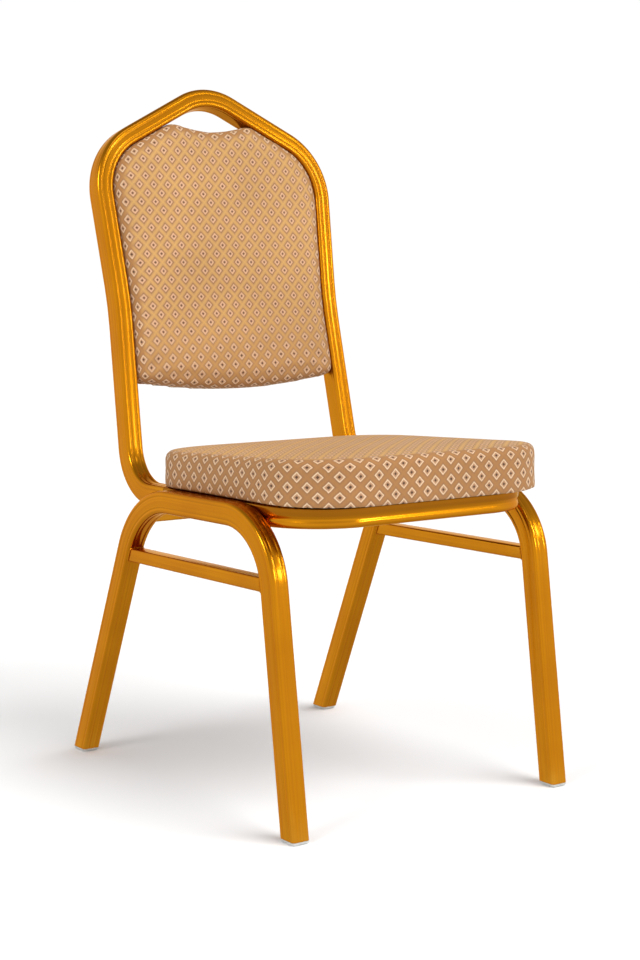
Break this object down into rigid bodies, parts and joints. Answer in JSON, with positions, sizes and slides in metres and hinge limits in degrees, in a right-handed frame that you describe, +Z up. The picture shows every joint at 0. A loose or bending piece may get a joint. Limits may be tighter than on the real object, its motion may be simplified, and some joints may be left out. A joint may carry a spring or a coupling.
{
  "type": "stacking chair",
  "caption": "Stackable dining chair with a bent metal tube frame, side leg loops, a padded seat and a crowned padded back with a hand-hold gap.",
  "frame": {"origin": "on the floor, under the middle of the chair's bounding box", "axes": "+Z up, the chair faces -Y, X runs across the seat; left and right in the node names are as seen from the front"},
  "size_m": [0.4384, 0.5598, 0.9218],
  "materials": {
    "gold_paint": "semi-gloss metallic gold paint",
    "patterned_fabric": "woven upholstery with a small diamond pattern",
    "plywood": "raw plywood",
    "foam": "moulded polyurethane foam",
    "dust_fabric": "thin black non-woven sheet",
    "clear_plastic": "translucent white plastic",
    "zinc_steel": "zinc plated"
  },
  "bodies": {
    "root": {"back_frame_tube": "gold_paint", "seat_frame_rail": "gold_paint", "rear_crossbar": "gold_paint", "left_leg_loop": "gold_paint", "right_leg_loop": "gold_paint", "left_side_stretcher": "gold_paint", "right_side_stretcher": "gold_paint", "foot_glide_front_left": "clear_plastic", "foot_glide_front_right": "clear_plastic", "foot_glide_rear_left": "clear_plastic", "foot_glide_rear_right": "clear_plastic", "seat_board": "plywood", "seat_dust_cover": "dust_fabric", "seat_foam": "foam", "seat_cover": "patterned_fabric", "seat_tab_front_left": "gold_paint", "seat_tab_front_right": "gold_paint", "seat_tab_rear_left": "gold_paint", "seat_tab_rear_right": "gold_paint", "seat_bolt_front_left": "zinc_steel", "seat_bolt_front_right": "zinc_steel", "seat_bolt_rear_left": "zinc_steel", "seat_bolt_rear_right": "zinc_steel", "seat_washer_front_left": "zinc_steel", "seat_washer_front_right": "zinc_steel", "seat_washer_rear_left": "zinc_steel", "seat_washer_rear_right": "zinc_steel", "tee_nut_front_left": "zinc_steel", "tee_nut_front_right": "zinc_steel", "tee_nut_rear_left": "zinc_steel", "tee_nut_rear_right": "zinc_steel", "back_board": "plywood", "back_foam": "foam", "back_front_cover": "patterned_fabric", "back_rear_panel": "patterned_fabric", "back_tab_lower_left": "gold_paint", "back_tab_lower_right": "gold_paint", "back_tab_upper_left": "gold_paint", "back_tab_upper_right": "gold_paint", "back_screw_lower_left": "zinc_steel", "back_screw_lower_right": "zinc_steel", "back_screw_upper_left": "zinc_steel", "back_screw_upper_right": "zinc_steel"}
  },
  "joints": []
}
